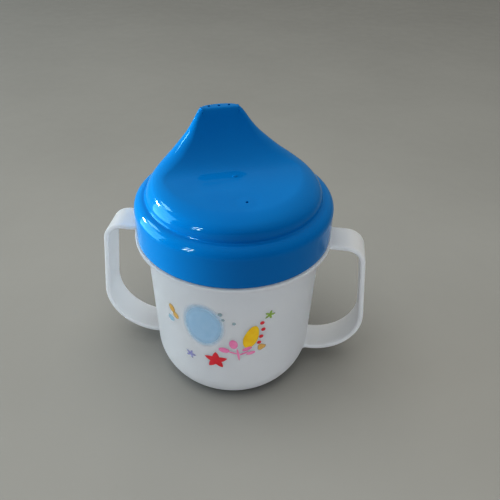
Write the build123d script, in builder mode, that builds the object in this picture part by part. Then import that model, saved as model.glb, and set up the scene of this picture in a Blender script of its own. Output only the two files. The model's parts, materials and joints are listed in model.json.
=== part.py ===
"""Two-handled toddler sippy cup: moulded cup with strap handles, screw lid with a
hard spout, gasket and two-port spill valve.  Millimetres, +Z up, origin at the
centre of the base, handles along X."""

import os
from math import cos, radians, sin, sqrt

from build123d import *

os.makedirs("parts", exist_ok=True)

QUARTER_TURN = 90.0
CUT_PAST = 1.0              # how far a cut runs on past the face it opens

# ---- cup ----
BASE_FLAT_R = 25.9          # radius of the foot ring's outer edge
FOOT_ARC_R = 5.0            # tight curve from the foot into the big bottom curve
BOWL_ARC_R = 20.4           # big curve from the foot curve into the wall
FOOT_ARC_DEG = 45.0
WALL_LEAN_DEG = 1.0         # the wall opens slightly upwards
CUP_WALL = 1.7
FOOT_RECESS_R = 22.0
FOOT_RECESS = 0.8
FLANGE_R = 40.7
FLANGE_TOP = 72.0
FLANGE_T = 1.5
NECK_R = 36.45              # outside of the upright neck, where the leaning wall ends
NECK_TOP = 85.0
LIP_ROUND = 0.7
EDGE_ROUND = 0.5

# ---- handles ----
STRAP_W = 14.0
STRAP_T = 2.1
STRAP_ROUND = 0.7
HANDLE_TOP = 71.7           # upper face of the upper arm
HANDLE_LOW = 10.5           # lower face of the lower arm
HANDLE_REACH_TOP = 54.4     # from the axis to the outer face, level with the upper arm
HANDLE_REACH_LOW = 61.5     # the same, level with the lower arm
HANDLE_TOP_R = 8.6
HANDLE_LOW_R = 22.4
HANDLE_ROOT = 30.0          # where the strap starts, inside the cup wall

# ---- lid ----
SPOUT_DEG = 22.5            # the lid screws home with its spout this far round from +Y
LID_WALL = 1.7
SKIRT_BOTTOM = 72.35
SKIRT_R_BOTTOM = 40.0
SKIRT_R_TOP = 39.85
SHOULDER_R = 4.45
TIER_BASE = 88.7
TIER_R = 35.1
FACE_Z = 95.7               # the flat front of the top face
TIP_Z = 113.5
TIP_FRONT = 25.0            # from the axis to the front of the spout's tip
TIP_BACK = 29.9
TIP_CENTRE = 26.8           # middle of the tip's rounded outline
FACE_POWER = 2.6            # how sharply the face bends up into the spout
BACK_POWER = 3.7            # how late the back wall leans in
CENTRE_POWER = 0.75         # how fast the sections move back as they rise
CENTRE_START = 95.0
FRONT_FULL = 0.9            # how much fuller the tier is in front than at its sides
FACE_STEPS = (0.3, 0.55, 0.75, 0.88, 1.0)
LID_REACH = 2 * TIER_R      # far enough out to clear the lid on every side
# height and half width of the sections that shape the spout's sides
SPOUT_SIDES = ((92.0, 34.0), (95.0, 31.0), (98.0, 25.9), (101.5, 20.6), (105.0, 16.0), (109.0, 12.1))
TIP_HALF_W = 8.2
SKIRT_BORE_R = 38.3
SEAT_Z = 87.0               # underside that presses on the gasket
SEAT_ROUND = 1.3
PLUG_LIP_IN = 33.4          # thin lip that centres the lid in the neck
PLUG_LIP_OUT = 34.3
PLUG_LIP_BOTTOM = 83.5
DRINK_HOLE_R = 0.6
DRINK_HOLE_GAP = 4.2
DRINK_HOLES = 3
TIP_HOLE_Y = 27.4
VENT_R = 0.5
VENT_Y = -19.5
GATE_R = 0.9
GATE_H = 0.25

# ---- thread ----
PITCH = 5.0
THREAD_TURNS = 1.25
THREAD_H = 1.2
THREAD_ROOT_W = 2.0
THREAD_CREST_W = 1.0
THREAD_SINK = 0.35          # how far the thread is let into its wall
NECK_THREAD_START = 75.6
LID_THREAD_START = 73.9

# ---- gasket ----
GASKET_IN = 34.65
GASKET_OUT = 36.85

# ---- valve and its sockets ----
TUBE_Y = 22.6               # centre of the spout tube, towards the spout
TUBE_HALF_W = 9.0
TUBE_HALF_D = 6.0
TUBE_WALL = 1.4
TUBE_BOTTOM = 90.5
VENT_SOCKET_R = 4.0
VENT_SOCKET_WALL = 1.2
VALVE_GAP = 0.25            # between each plug and its socket
VALVE_PLUG_H = 5.0
VENT_PLUG_H = 2.6
VALVE_SIDE = 1.2
VALVE_SHEET = 1.6
VALVE_SKIN = 0.8
VALVE_STRAP_W = 8.0
VALVE_SLIT_L = 4.0
VALVE_SLIT_W = 0.3

LID_PLANE = Plane(
    origin=(0, 0, 0),
    x_dir=(cos(radians(SPOUT_DEG)), sin(radians(SPOUT_DEG)), 0),
    z_dir=(0, 0, 1),
)
# looking along the lid's own side: local x towards the spout, local y up
SIDE_PLANE = Plane(
    origin=(0, 0, 0),
    x_dir=(-sin(radians(SPOUT_DEG)), cos(radians(SPOUT_DEG)), 0),
    z_dir=(cos(radians(SPOUT_DEG)), sin(radians(SPOUT_DEG)), 0),
)


def cup_outline(inset):
    """Draw the cup's outer curve, or the same curve moved in by inset, from the axis up."""
    foot = JernArc((BASE_FLAT_R, inset), (1, 0), FOOT_ARC_R - inset, FOOT_ARC_DEG)
    bowl_deg = QUARTER_TURN - FOOT_ARC_DEG - WALL_LEAN_DEG
    bowl = JernArc(foot @ 1, foot % 1, BOWL_ARC_R - inset, bowl_deg)
    Line((0, inset), (BASE_FLAT_R, inset))
    neck_r = NECK_R - inset
    Polyline(bowl @ 1, (neck_r, FLANGE_TOP), (neck_r, NECK_TOP), (0, NECK_TOP), (0, inset))


def spout_section(height, half_w, inset):
    """Return a section's centre, half width and half depth at one height."""
    rise = (height - TIER_BASE) / (TIP_Z - TIER_BASE)
    shift = max(0.0, (height - CENTRE_START) / (TIP_Z - CENTRE_START))
    back = TIER_R - (TIER_R - TIP_BACK) * rise**BACK_POWER
    front = min(TIER_R, half_w + FRONT_FULL)
    centre = max(TIP_CENTRE * shift**CENTRE_POWER, (back - front) / 2)
    return centre, half_w - inset, back - centre - inset


def spout_block(inset, top, past=0.0):
    """Loft the spout's sides from the tier's round base up to the tip, and past it."""
    stations = [(TIER_BASE, TIER_R)] + [s for s in SPOUT_SIDES if s[0] < top]
    stations += [(top, TIP_HALF_W)]
    if past:
        stations += [(top + past, TIP_HALF_W - past)]
    rings = []
    for height, half_w in stations:
        centre, half_x, half_y = spout_section(height, half_w, inset)
        middle = LID_PLANE.from_local_coords((0, centre, height))
        with BuildSketch(Plane(middle, x_dir=LID_PLANE.x_dir)) as ring:
            Ellipse(half_y, half_x, rotation=QUARTER_TURN)
        rings.append(ring.sketch)
    loft(sections=rings)


def face_point(share, inset):
    """Return a point of the top face's side view, moved into the wall by inset."""
    along = TIP_FRONT * share
    height = FACE_Z + (TIP_Z - FACE_Z) * share**FACE_POWER
    slope = FACE_POWER * (TIP_Z - FACE_Z) / TIP_FRONT * share ** (FACE_POWER - 1)
    length = sqrt(1 + slope**2)
    return along + inset * slope / length, height - inset / length


def face_region(inset):
    """Draw the side view of everything above the top face, or above its underside."""
    curve = [face_point(share, inset) for share in FACE_STEPS]
    end_slope = FACE_POWER * (TIP_Z - FACE_Z) / TIP_FRONT
    flat_z = FACE_Z - inset
    top_z = curve[-1][1]
    with BuildSketch(SIDE_PLANE) as region:
        with BuildLine():
            Line((-LID_REACH, flat_z), (0, flat_z))
            Spline((0, flat_z), *curve, tangents=((1, 0), (1, end_slope)))
            Polyline(
                curve[-1],
                (LID_REACH, top_z),
                (LID_REACH, 2 * TIP_Z),
                (-LID_REACH, 2 * TIP_Z),
                (-LID_REACH, flat_z),
            )
        make_face()
    return region.sketch


def thread_ridge(root_r, outward, start_z):
    """Sweep one trapezoid thread ridge round a wall of radius root_r."""
    side = 1 if outward else -1
    with BuildLine() as path:
        Helix(PITCH, PITCH * THREAD_TURNS, root_r, center=(0, 0, start_z))
    with BuildSketch(Plane(path.line @ 0, x_dir=(1, 0, 0), z_dir=path.line % 0)) as ridge:
        sink = -side * THREAD_SINK
        Polygon(
            (sink, -THREAD_ROOT_W / 2),
            (side * THREAD_H, -THREAD_CREST_W / 2),
            (side * THREAD_H, THREAD_CREST_W / 2),
            (sink, THREAD_ROOT_W / 2),
            align=None,
        )
    sweep(sections=ridge.sketch, path=path.line, is_frenet=True)


# ---- cup body: one thin revolved wall with foot recess, flange and threaded neck ----
with BuildPart() as cup_solid:
    with BuildSketch(Plane.XZ):
        with BuildLine():
            cup_outline(0.0)
        make_face()
    revolve(axis=Axis.Z)

with BuildPart() as cup_body:
    with BuildSketch(Plane.XZ):
        with BuildLine():
            cup_outline(0.0)
        make_face()
    revolve(axis=Axis.Z)
    with BuildSketch(Plane.XY.offset(FLANGE_TOP - FLANGE_T)):
        Circle(FLANGE_R)
    extrude(amount=FLANGE_T)
    fillet(edges().filter_by(GeomType.CIRCLE).group_by(SortBy.RADIUS)[-1], EDGE_ROUND)
    with BuildSketch(Plane.XZ):
        with BuildLine():
            cup_outline(CUP_WALL)
        make_face()
    revolve(axis=Axis.Z, mode=Mode.SUBTRACT)
    with BuildSketch(Plane.XY):
        Circle(FOOT_RECESS_R)
    extrude(amount=FOOT_RECESS, mode=Mode.SUBTRACT)
    fillet(edges().group_by(Axis.Z)[-1], LIP_ROUND)
    thread_ridge(NECK_R, True, NECK_THREAD_START)

cup_body.part.label = "cup_body"
export_step(cup_body.part, "parts/cup_body.step")


# ---- handles: a flat strap bent out from the flange and back into the bowl ----
def handle(name, side):
    """Sweep one strap handle on the side given by the sign, ending on the cup wall."""
    half_t = STRAP_T / 2
    corners = (
        (side * HANDLE_ROOT, HANDLE_TOP - half_t),
        (side * (HANDLE_REACH_TOP - half_t), HANDLE_TOP - half_t),
        (side * (HANDLE_REACH_LOW - half_t), HANDLE_LOW + half_t),
        (side * HANDLE_ROOT, HANDLE_LOW + half_t),
    )
    radii = (HANDLE_TOP_R - half_t, HANDLE_LOW_R - half_t)
    with BuildPart() as strap:
        with BuildLine(Plane.XZ) as route:
            FilletPolyline(*corners, radius=radii)
        with BuildSketch(Plane(route.line @ 0, x_dir=(0, 1, 0), z_dir=route.line % 0)):
            RectangleRounded(STRAP_W, STRAP_T, STRAP_ROUND)
        sweep()
        add(cup_solid.part, mode=Mode.SUBTRACT)
        with BuildSketch(Plane.XY.offset(FLANGE_TOP - FLANGE_T)):
            Circle(FLANGE_R)
        extrude(amount=FLANGE_T, mode=Mode.SUBTRACT)
    strap.part.label = name
    export_step(strap.part, f"parts/{name}.step")
    return strap.part


handle("handle_right", 1)
handle("handle_left", -1)


# ---- lid: threaded skirt, stepped tier and a hard spout over one hollow shell ----
with BuildPart() as spout_outer:
    spout_block(0.0, TIP_Z, CUT_PAST)
    extrude(to_extrude=face_region(0.0), amount=LID_REACH, both=True, mode=Mode.SUBTRACT)

# the hollow under the face, less the walls of the spout tube and the vent socket
with BuildPart() as spout_hollow:
    spout_block(LID_WALL, TIP_Z - LID_WALL)
    extrude(to_extrude=face_region(LID_WALL), amount=LID_REACH, both=True, mode=Mode.SUBTRACT)
    with BuildSketch(LID_PLANE.offset(TUBE_BOTTOM)):
        with Locations((0, TUBE_Y)):
            Ellipse(TUBE_HALF_W + TUBE_WALL, TUBE_HALF_D + TUBE_WALL)
            Ellipse(TUBE_HALF_W, TUBE_HALF_D, mode=Mode.SUBTRACT)
        with Locations((0, VENT_Y)):
            Circle(VENT_SOCKET_R + VENT_SOCKET_WALL)
            Circle(VENT_SOCKET_R, mode=Mode.SUBTRACT)
    extrude(amount=TIP_Z - TUBE_BOTTOM, mode=Mode.SUBTRACT)

with BuildPart() as screw_lid:
    with BuildSketch(Plane.XZ):
        with BuildLine():
            skirt = Line((SKIRT_R_BOTTOM, SKIRT_BOTTOM), (SKIRT_R_TOP, TIER_BASE - SHOULDER_R))
            shoulder = JernArc(skirt @ 1, (0, 1), SHOULDER_R, QUARTER_TURN)
            Polyline(shoulder @ 1, (0, TIER_BASE), (0, SKIRT_BOTTOM), skirt @ 0)
        make_face()
    revolve(axis=Axis.Z)
    add(spout_outer.part)
    with BuildSketch(Plane.XZ):
        with BuildLine():
            bore = Line((SKIRT_BORE_R, SKIRT_BOTTOM - CUT_PAST), (SKIRT_BORE_R, SEAT_Z - SEAT_ROUND))
            corner = JernArc(bore @ 1, (0, 1), SEAT_ROUND, QUARTER_TURN)
            Polyline(
                corner @ 1,
                (PLUG_LIP_OUT, SEAT_Z),
                (PLUG_LIP_OUT, PLUG_LIP_BOTTOM),
                (PLUG_LIP_IN, PLUG_LIP_BOTTOM),
                (PLUG_LIP_IN, TIER_BASE),
                (0, TIER_BASE),
                (0, SKIRT_BOTTOM - CUT_PAST),
                bore @ 0,
            )
        make_face()
    revolve(axis=Axis.Z, mode=Mode.SUBTRACT)
    add(spout_hollow.part, mode=Mode.SUBTRACT)
    with BuildSketch(LID_PLANE.offset(FACE_Z - GATE_H)):
        Circle(GATE_R)
    extrude(amount=2 * GATE_H)
    with Locations(Plane(LID_PLANE.from_local_coords((0, VENT_Y, FACE_Z)))):
        Hole(VENT_R, depth=2 * LID_WALL)
    tip_plane = Plane(LID_PLANE.from_local_coords((0, TIP_HOLE_Y, TIP_Z)), x_dir=LID_PLANE.x_dir)
    with Locations(tip_plane):
        with GridLocations(DRINK_HOLE_GAP, DRINK_HOLE_GAP, DRINK_HOLES, 1):
            Hole(DRINK_HOLE_R, depth=2 * LID_WALL)
    thread_ridge(SKIRT_BORE_R, False, LID_THREAD_START)

screw_lid.part.label = "screw_lid"
export_step(screw_lid.part, "parts/screw_lid.step")

# ---- gasket: flat silicone ring between the neck's lip and the lid ----
with BuildPart() as lid_gasket:
    with BuildSketch(Plane.XY.offset(NECK_TOP)):
        Circle(GASKET_OUT)
        Circle(GASKET_IN, mode=Mode.SUBTRACT)
    extrude(amount=SEAT_Z - NECK_TOP)

lid_gasket.part.label = "lid_gasket"
export_step(lid_gasket.part, "parts/lid_gasket.step")

# ---- spill valve: one soft moulding, an oval plug and a round plug on a strap ----
with BuildPart() as spill_valve:
    sheet_bottom = TUBE_BOTTOM - VALVE_SHEET
    with BuildSketch(LID_PLANE.offset(sheet_bottom)):
        with Locations((0, TUBE_Y)):
            Ellipse(TUBE_HALF_W + TUBE_WALL, TUBE_HALF_D + TUBE_WALL)
        with Locations((0, VENT_Y)):
            Circle(VENT_SOCKET_R + VENT_SOCKET_WALL)
        with Locations((0, (TUBE_Y + VENT_Y) / 2)):
            Rectangle(VALVE_STRAP_W, TUBE_Y - VENT_Y)
    extrude(amount=VALVE_SHEET)
    with BuildSketch(LID_PLANE.offset(TUBE_BOTTOM)):
        with Locations((0, TUBE_Y)):
            Ellipse(TUBE_HALF_W - VALVE_GAP, TUBE_HALF_D - VALVE_GAP)
    extrude(amount=VALVE_PLUG_H)
    with BuildSketch(LID_PLANE.offset(TUBE_BOTTOM)):
        with Locations((0, VENT_Y)):
            Circle(VENT_SOCKET_R - VALVE_GAP)
    extrude(amount=VENT_PLUG_H)
    # each plug is a cup, open below, with a thin slit skin on top
    with BuildSketch(LID_PLANE.offset(sheet_bottom)):
        with Locations((0, TUBE_Y)):
            Ellipse(TUBE_HALF_W - VALVE_GAP - VALVE_SIDE, TUBE_HALF_D - VALVE_GAP - VALVE_SIDE)
    extrude(amount=VALVE_SHEET + VALVE_PLUG_H - VALVE_SKIN, mode=Mode.SUBTRACT)
    with BuildSketch(LID_PLANE.offset(sheet_bottom)):
        with Locations((0, VENT_Y)):
            Circle(VENT_SOCKET_R - VALVE_GAP - VALVE_SIDE)
    extrude(amount=VALVE_SHEET + VENT_PLUG_H - VALVE_SKIN, mode=Mode.SUBTRACT)
    with BuildSketch(LID_PLANE.offset(TUBE_BOTTOM)):
        with Locations((0, TUBE_Y), (0, VENT_Y)):
            Rectangle(VALVE_SLIT_L, VALVE_SLIT_W)
            Rectangle(VALVE_SLIT_W, VALVE_SLIT_L)
    extrude(amount=VALVE_PLUG_H, mode=Mode.SUBTRACT)

spill_valve.part.label = "spill_valve"
export_step(spill_valve.part, "parts/spill_valve.step")
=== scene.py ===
"""Looks for a two-handled toddler sippy cup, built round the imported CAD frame.

The dimensions are in millimetres and repeat the CAD source, and so is the camera's place. The
lights are given in metres.
"""

import json
from math import cos, pi, radians, sin, sqrt

import bmesh
import bpy
import numpy as np
from mathutils import Matrix, Vector

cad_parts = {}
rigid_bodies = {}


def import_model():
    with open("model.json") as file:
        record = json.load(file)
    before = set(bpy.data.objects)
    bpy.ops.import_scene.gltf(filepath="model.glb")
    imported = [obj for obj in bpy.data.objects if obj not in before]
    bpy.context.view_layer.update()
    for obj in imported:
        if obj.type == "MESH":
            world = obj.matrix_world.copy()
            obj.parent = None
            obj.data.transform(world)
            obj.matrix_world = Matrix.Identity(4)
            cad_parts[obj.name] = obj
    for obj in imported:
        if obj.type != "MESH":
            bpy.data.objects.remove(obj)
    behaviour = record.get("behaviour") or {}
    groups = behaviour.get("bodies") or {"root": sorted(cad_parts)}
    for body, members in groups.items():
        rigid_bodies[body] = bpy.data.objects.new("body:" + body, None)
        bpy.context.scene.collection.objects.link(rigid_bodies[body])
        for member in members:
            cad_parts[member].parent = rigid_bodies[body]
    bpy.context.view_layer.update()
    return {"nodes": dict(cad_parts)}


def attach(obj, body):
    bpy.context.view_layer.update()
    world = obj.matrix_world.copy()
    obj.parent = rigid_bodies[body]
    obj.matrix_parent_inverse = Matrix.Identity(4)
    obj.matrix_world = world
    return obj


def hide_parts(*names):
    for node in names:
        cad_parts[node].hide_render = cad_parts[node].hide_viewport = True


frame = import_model()

MM = 0.001

# ---- cup ----
BASE_FLAT_R = 25.9          # radius of the foot ring's outer edge
FOOT_ARC_R = 5.0            # tight curve from the foot into the big bottom curve
BOWL_ARC_R = 20.4           # big curve from the foot curve into the wall
FOOT_ARC_DEG = 45.0
WALL_LEAN_DEG = 1.0         # the wall opens slightly upwards
CUP_WALL = 1.7
FOOT_RECESS_R = 22.0
FOOT_RECESS = 0.8
FOOT_RECESS_LEAN = 0.15     # how much wider the recess is at the floor
FOOT_ROUND = 0.3
FLANGE_R = 40.7
FLANGE_TOP = 72.0
FLANGE_T = 1.5
FLANGE_UNDER_ROUND = 0.6    # fillet between the wall and the flange's underside
NECK_R = 36.45              # outside of the upright neck, where the leaning wall ends
NECK_TOP = 85.0
NECK_FOOT_ROUND = 0.4       # fillet between the flange and the neck
LIP_ROUND = 0.7
EDGE_ROUND = 0.5

# ---- handles ----
STRAP_W = 14.0
STRAP_T = 2.1
STRAP_ROUND = 0.7
HANDLE_TOP = 71.7           # upper face of the upper arm
HANDLE_LOW = 10.5           # lower face of the lower arm
HANDLE_REACH_TOP = 54.4     # from the axis to the outer face, level with the upper arm
HANDLE_REACH_LOW = 61.5     # the same, level with the lower arm
HANDLE_TOP_R = 8.6
HANDLE_LOW_R = 22.4
ROOT_FILLET = 1.3           # fillet where a strap grows out of the wall
FILLET_DEG = (20, 38, 54, 68, 80, 90)       # where the fillet's rings lie along its curve
FILLET_SPREAD = 0.9         # most that the strap grows, as a share of the fillet
ROOT_SINK = 0.7             # how deep the strap's end lies in the wall
ROOT_OVERLAP = 0.05         # the fillet starts this far inside the wall's face
ROOT_CLEAR_TOP = 2.0        # the plain strap starts this far from the wall on the upper arm
ROOT_CLEAR_LOW = 2.4        # and this far on the lower one
ARM_SLACK = 0.1             # a point this near an arm's height is on that arm

# ---- lid ----
SPOUT_DEG = 22.5            # the lid screws home with its spout this far round from +Y
LID_WALL = 1.7
SKIRT_BOTTOM = 72.35
SKIRT_R_BOTTOM = 40.0
SKIRT_R_TOP = 39.85
SKIRT_OUT_ROUND = 0.5
SKIRT_IN_ROUND = 0.35
SHOULDER_R = 4.45
SHOULDER_TOP_DEG = 88       # the shoulder's curve stops just short of level, at the groove
TIER_BASE = 88.7
TIER_R = 35.1
GROOVE_R = 0.45             # rounding at the foot of the tier
FACE_Z = 95.7               # the flat front of the top face
TIP_Z = 113.5
TIP_FRONT = 25.0            # from the axis to the front of the spout's tip
TIP_BACK = 29.9
TIP_CENTRE = 26.8           # middle of the tip's rounded outline
FACE_POWER = 2.6            # how sharply the face bends up into the spout
BACK_POWER = 3.7            # how late the back wall leans in
CENTRE_POWER = 0.75         # how fast the sections move back as they rise
CENTRE_START = 95.0
FRONT_FULL = 0.9            # how much fuller the tier is in front than at its sides
# height and half width of the sections that shape the spout's sides
SPOUT_SIDES = ((92.0, 34.0), (95.0, 31.0), (98.0, 25.9), (101.5, 20.6), (105.0, 16.0), (109.0, 12.1))
TIP_HALF_W = 8.2
SKIRT_BORE_R = 38.3
SEAT_Z = 87.0               # underside that presses on the gasket
SEAT_ROUND = 1.3
PLUG_LIP_IN = 33.4          # thin lip that centres the lid in the neck
PLUG_LIP_OUT = 34.3
PLUG_LIP_BOTTOM = 83.5
PLUG_LIP_ROUND = 0.35
PLUG_ROOT_ROUND = 0.3
DRINK_HOLE_R = 0.6
DRINK_HOLE_GAP = 4.2
TIP_HOLE_Y = 27.4
VENT_R = 0.5
VENT_Y = -19.5
HOLE_MOUTH = ((0, 0.22), (0.05, 0.08), (0.15, -0.03))       # how much wider, at which depth
DRILL_WALLS = 2.2           # how deep a drill goes, in wall thicknesses
GATE_R = 0.9                # stub of the moulding gate in the middle of the top face
GATE_H = 0.25
GATE_FOOT = 0.06            # how far the stub's side runs out at its foot
GATE_SIDE = 0.16            # how wide the stub's side is from foot to top
TUBE_Y = 22.6               # oval socket under the spout for the valve
TUBE_HALF_W = 9.0
TUBE_HALF_D = 6.0
TUBE_WALL = 1.4
TUBE_BOTTOM = 90.5
VENT_SOCKET_R = 4.0
VENT_SOCKET_WALL = 1.2
SOCKET_BITE = 0.55          # how far under the lid's outer face a socket ends, in wall thicknesses

# rounding of the fold between the top face and the flanks, by the fold's height
FOLD_ROUND_Z = (FACE_Z, 97.5, 101.0, 106.0, 110.0, TIP_Z)
FOLD_ROUND_R = (1.5, 3.4, 5.0, 4.0, 2.4, 1.1)
TIP_EDGE = 0.9              # rounding between the face and the level tip
INNER_ROUND = 0.5           # rounding of the fold on the inside

# faint marks in the top face: a shallow sink mark, and a ring over the vent's socket
SINK_X, SINK_Y = -9.5, -5.5
SINK_HALF_X, SINK_HALF_Y = 11.0, 4.6
SINK_DEPTH = 0.10
RING_HALF_W = 1.6
RING_DEPTH = 0.04

# ---- thread ----
PITCH = 5.0
THREAD_TURNS = 1.25
THREAD_H = 1.2
THREAD_ROOT_W = 2.0
THREAD_CREST_W = 1.0
NECK_THREAD_START = 75.6
LID_THREAD_START = 73.9
THREAD_RUN_OUT = 0.03       # turns over which a thread's end fades

# ---- mesh density ----
CUP_COLUMNS = 240
CUP_STEP = 3.0              # longest step along a plain profile
CUP_FLOOR_RING_R = 12.0     # one more ring on the cup's floor
LID_COLUMNS = 300
LID_STEP = 2.0
SPOUT_CROWDING = 1.6        # how much closer the lid's columns are at the spout
SPOUT_CROWD_DEG = 28        # and over what angle
FACE_ROWS = 96
FACE_CROWDING = 1.25        # the face's rows draw together towards the fold
SIDE_ROWS = 41
IN_SIDE_ROWS = 31
CEILING_ROWS = 56
GATE_RINGS = (0.35, 0.6, 0.76, 0.84, 0.9, 0.96, 1.04, 1.3)      # radii of the rings over the stub
SOCKET_COLUMNS = 96
SOCKET_ROWS = 9
DRILL_COLUMNS = 24
THREAD_STEP = 0.25          # step across a threaded wall
STRAP_STEP = 1.6            # step across a strap's flat faces
POLE_R = 0.4                # innermost ring round a pole
SHARP_DEG = 40              # edges sharper than this stay sharp
MERGE_M = 1e-7              # points nearer than this are one point, in metres
SAME_R = 1e-6               # radii nearer than this are the same

# ---- numerical steps of the lid's surface ----
NUDGE = 0.01                # step for the slope of a surface
FOLD_NUDGE = 0.005
HALVINGS = 40               # halvings of a range, to find where a surface lies
FOLD_STAGES = 10            # the fold's rounding grows in stages from a tenth to the whole
FOLD_PASSES = 5
FOLD_LIMIT = 0.5            # furthest that a point of the fold moves in one pass
FOLD_DET = 0.05             # least determinant, where face and side are nearly parallel
INSET_PASSES = 12
INSET_LIMIT = 0.4


# ------------------------------------------------------------------ mesh helpers
def new_object(name, mesh, material=None):
    """Link a mesh as a smooth-shaded object with sharp edges kept by angle."""
    obj = bpy.data.objects.new(name, mesh)
    bpy.context.scene.collection.objects.link(obj)
    finish_mesh(mesh)
    if material is not None:
        mesh.materials.append(material)
    return obj


def finish_mesh(mesh):
    """Turn the faces outwards and shade them smooth, with the sharp edges kept."""
    bm = bmesh.new()
    bm.from_mesh(mesh)
    bmesh.ops.remove_doubles(bm, verts=bm.verts, dist=MERGE_M)
    bmesh.ops.recalc_face_normals(bm, faces=bm.faces)
    if bm.calc_volume(signed=True) < 0:
        bmesh.ops.reverse_faces(bm, faces=bm.faces)
    bm.to_mesh(mesh)
    bm.free()
    mesh.shade_smooth()
    mesh.set_sharp_from_angle(angle=radians(SHARP_DEG))


def grid_faces(rows, cols, first, wrap_rows=False):
    """Return quads joining rows of points that each close on themselves.

    first is the index of the first point; wrap_rows joins the last row to the first.
    """
    i = np.arange(rows if wrap_rows else rows - 1)
    j = np.arange(cols)
    a = first + i[:, None] * cols + j[None, :]
    b = first + i[:, None] * cols + (j[None, :] + 1) % cols
    step = first + ((i[:, None] + 1) % rows) * cols
    c = step + (j[None, :] + 1) % cols
    d = step + j[None, :]
    return np.stack([a, b, c, d], axis=-1).reshape(-1, 4).tolist()


def ring_mesh(name, points, start=None, end=None, wrap_rows=False):
    """Make a mesh from points[row, column], with an optional pole at each end."""
    rows, cols = points.shape[:2]
    verts = points.reshape(-1, 3).tolist()
    faces = grid_faces(rows, cols, 0, wrap_rows)
    for pole, row in ((start, 0), (end, rows - 1)):
        if pole is not None:
            verts.append(list(pole))
            tip = len(verts) - 1
            base = row * cols
            faces += [[base + j, base + (j + 1) % cols, tip] for j in range(cols)]
    mesh = bpy.data.meshes.new(name)
    mesh.from_pydata([[x * MM for x in v] for v in verts], [], faces)
    return mesh


def arc(centre, radius, start_deg, end_deg, steps):
    """Return points of an arc in the (radius, height) plane."""
    t = np.radians(np.linspace(start_deg, end_deg, steps + 1))
    return [(centre[0] + radius * cos(x), centre[1] + radius * sin(x)) for x in t]


def rounded(corners, steps=5):
    """Return a polyline with each corner (r, z, rounding) replaced by an arc."""
    out = []
    n = len(corners)
    for k, (r, z, fillet) in enumerate(corners):
        if fillet == 0 or k in (0, n - 1):
            out.append((r, z))
            continue
        p = np.array((r, z))
        u = np.array(corners[k - 1][:2]) - p
        v = np.array(corners[k + 1][:2]) - p
        u = u / np.linalg.norm(u)
        v = v / np.linalg.norm(v)
        half = np.arccos(np.clip(u @ v, -1, 1)) / 2
        bisector = (u + v) / np.linalg.norm(u + v)
        centre = p + bisector * fillet / sin(half)
        a = p + u * fillet / np.tan(half) - centre
        b = p + v * fillet / np.tan(half) - centre
        start = np.arctan2(a[1], a[0])
        sweep = (np.arctan2(b[1], b[0]) - start + pi) % (2 * pi) - pi
        for t in np.linspace(0, 1, steps + 1):
            turn = start + sweep * t
            out.append(tuple(centre + fillet * np.array((cos(turn), sin(turn)))))
    return out


def filled(points, longest):
    """Add points so that no step of a polyline is longer than given."""
    out = [points[0]]
    for a, b in zip(points, points[1:]):
        a, b = np.array(a), np.array(b)
        count = max(1, int(np.ceil(np.linalg.norm(b - a) / longest)))
        out += [tuple(a + (b - a) * k / count) for k in range(1, count + 1)]
    return out


def turned(profile, angles, bump=None):
    """Turn a profile of (radius, height) round Z. bump(radius, height, angle) adds to the radius."""
    p = np.array(profile, float)
    r = np.repeat(p[:, :1], len(angles), axis=1)
    z = np.repeat(p[:, 1:], len(angles), axis=1)
    a = np.repeat(angles[None, :], len(p), axis=0)
    if bump is not None:
        r = r + bump(r, z, a)
    return np.stack([r * np.cos(a), r * np.sin(a), z], axis=-1)


def thread_height(z, angle, start_z):
    """Height of a trapezoid thread ridge above its wall at a height and angle."""
    height = np.zeros_like(z)
    for turn in range(int(THREAD_TURNS) + 1):
        along = (angle % (2 * pi)) / (2 * pi) + turn
        away = np.abs(z - start_z - PITCH * along)
        slope = (THREAD_ROOT_W - THREAD_CREST_W) / 2
        ridge = np.clip((THREAD_ROOT_W / 2 - away) / slope, 0, 1)
        ends = np.clip(np.minimum(along, THREAD_TURNS - along) / THREAD_RUN_OUT, 0, 1)
        height = np.maximum(height, THREAD_H * ridge * ends * ends * (3 - 2 * ends))
    return height


def boolean(obj, other, operation):
    """Apply one exact boolean to obj and remove the other object."""
    mod = obj.modifiers.new("cut", "BOOLEAN")
    mod.operation = operation
    mod.solver = "EXACT"
    mod.object = other
    graph = bpy.context.evaluated_depsgraph_get()
    mesh = bpy.data.meshes.new_from_object(obj.evaluated_get(graph))
    obj.modifiers.clear()
    obj.data = mesh
    bpy.data.objects.remove(other)
    finish_mesh(mesh)


def joined(name, meshes):
    """Return one object that holds several meshes."""
    bm = bmesh.new()
    for mesh in meshes:
        bm.from_mesh(mesh)
    out = bpy.data.meshes.new(name)
    bm.to_mesh(out)
    bm.free()
    return new_object(name, out)


def dress(obj, material):
    """Give an object one material in place of what it has."""
    obj.data.materials.clear()
    obj.data.materials.append(material)


# ------------------------------------------------------------------ materials
class Nodes:
    """A small builder for one node tree."""

    def __init__(self, tree):
        self.tree = tree

    def add(self, kind, **values):
        """Add a node. A value sets the socket of that name, or else the property."""
        node = self.tree.nodes.new(kind)
        for key, value in values.items():
            if key in node.inputs:
                node.inputs[key].default_value = value
            else:
                setattr(node, key, value)
        return node

    def link(self, a, out, b, into):
        self.tree.links.new(a.outputs[out], b.inputs[into])

    def spread(self, source, out, given, wanted, **values):
        """Map one range of a value to another, clamped."""
        node = self.add("ShaderNodeMapRange", **values)
        for key, value in zip(("From Min", "From Max", "To Min", "To Max"), (*given, *wanted)):
            node.inputs[key].default_value = value
        self.link(source, out, node, "Value")
        return node


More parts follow.
